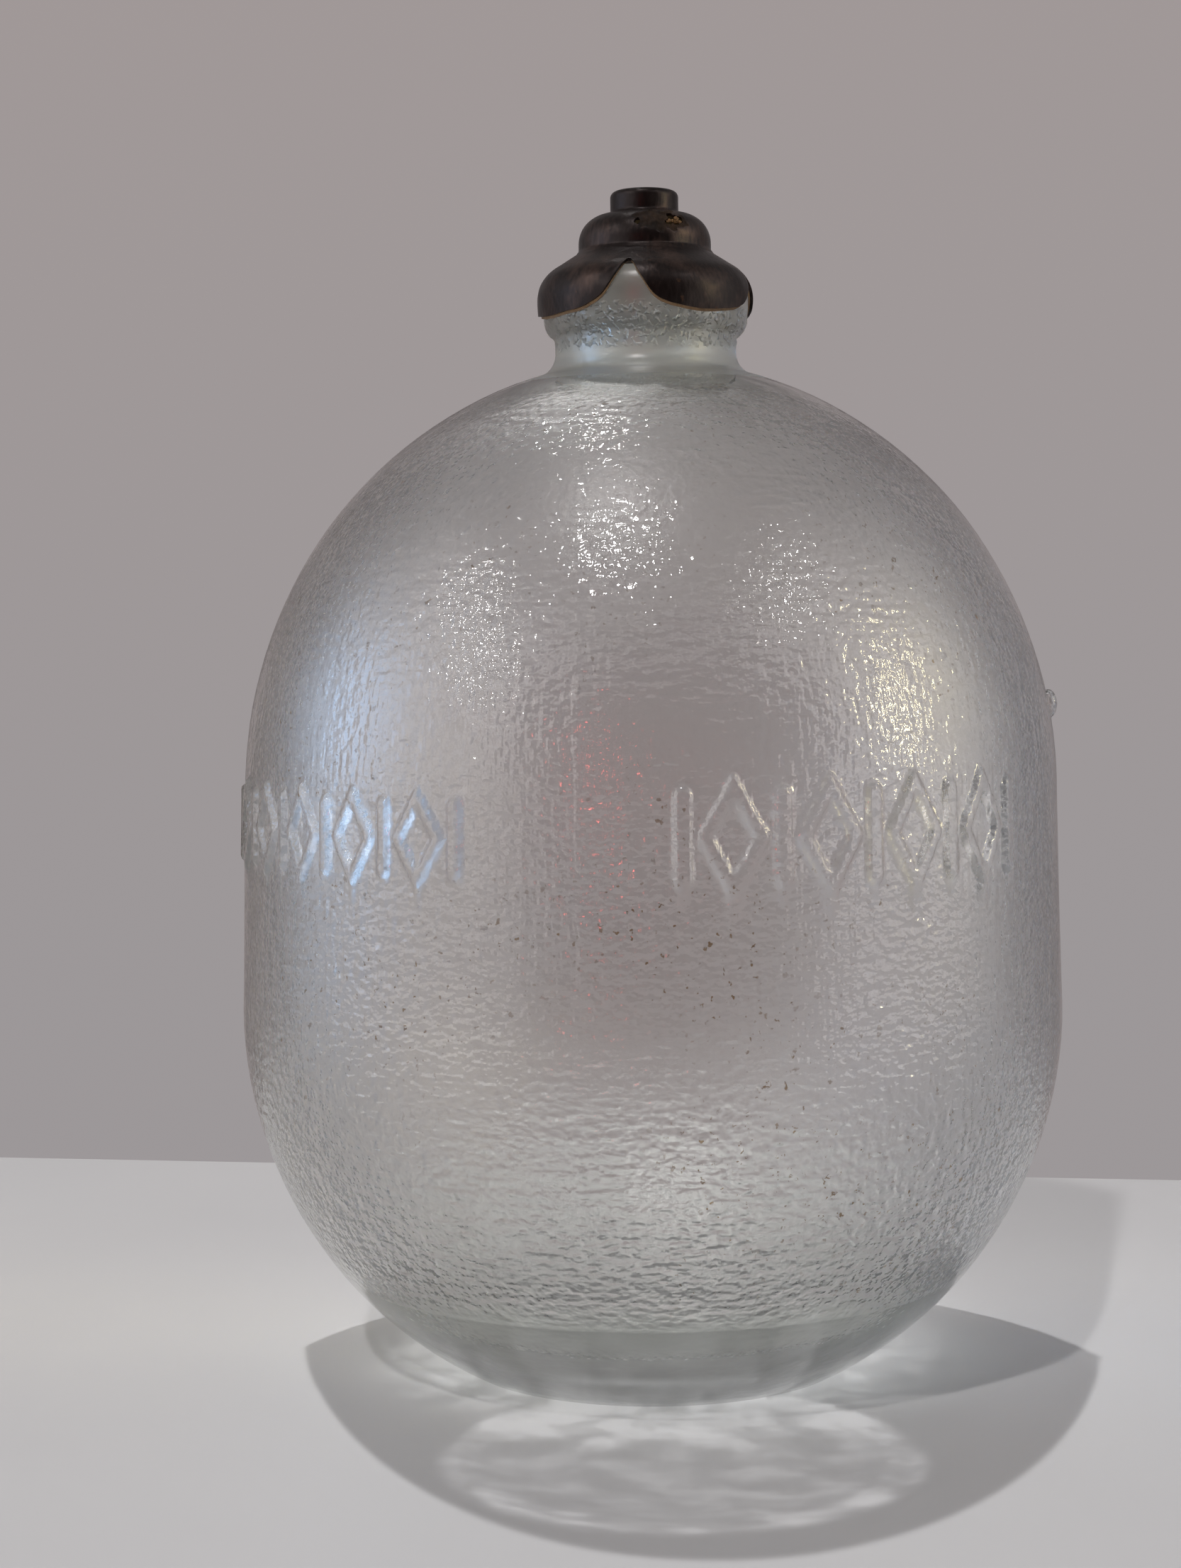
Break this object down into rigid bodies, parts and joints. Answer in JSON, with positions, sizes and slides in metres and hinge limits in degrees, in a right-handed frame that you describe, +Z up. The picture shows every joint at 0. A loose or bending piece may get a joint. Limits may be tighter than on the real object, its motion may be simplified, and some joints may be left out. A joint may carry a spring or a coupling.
{
  "type": "glass tank float",
  "caption": "Hollow clear-glass tank float with a domed body, short beaded neck and a dark crimped metal cap holding a blind threaded bushing for a float rod.",
  "frame": {"origin": "centre of the flat base, on the surface that the float stands on", "axes": "+Z up along the axis of the glass, cap and threaded hole; -Y is the front, with one notch of the cap just left of it"},
  "size_m": [0.1016, 0.1016, 0.1458],
  "materials": {
    "glass": "clear soda-lime glass with a faint green-grey tint and a pebbled moulded surface",
    "cap_metal": "dark brown, almost black patina on thin stamped brass, worn bronze on the high spots",
    "bushing_brass": "dull turned brass",
    "washer_rubber": "aged black rubber",
    "sealing_compound": "dried brown sealing compound"
  },
  "bodies": {
    "root": {"glass_body": "glass", "crimped_cap": "cap_metal", "rod_bushing": "bushing_brass", "lip_washer": "washer_rubber", "sealing_compound": "sealing_compound"}
  },
  "joints": []
}
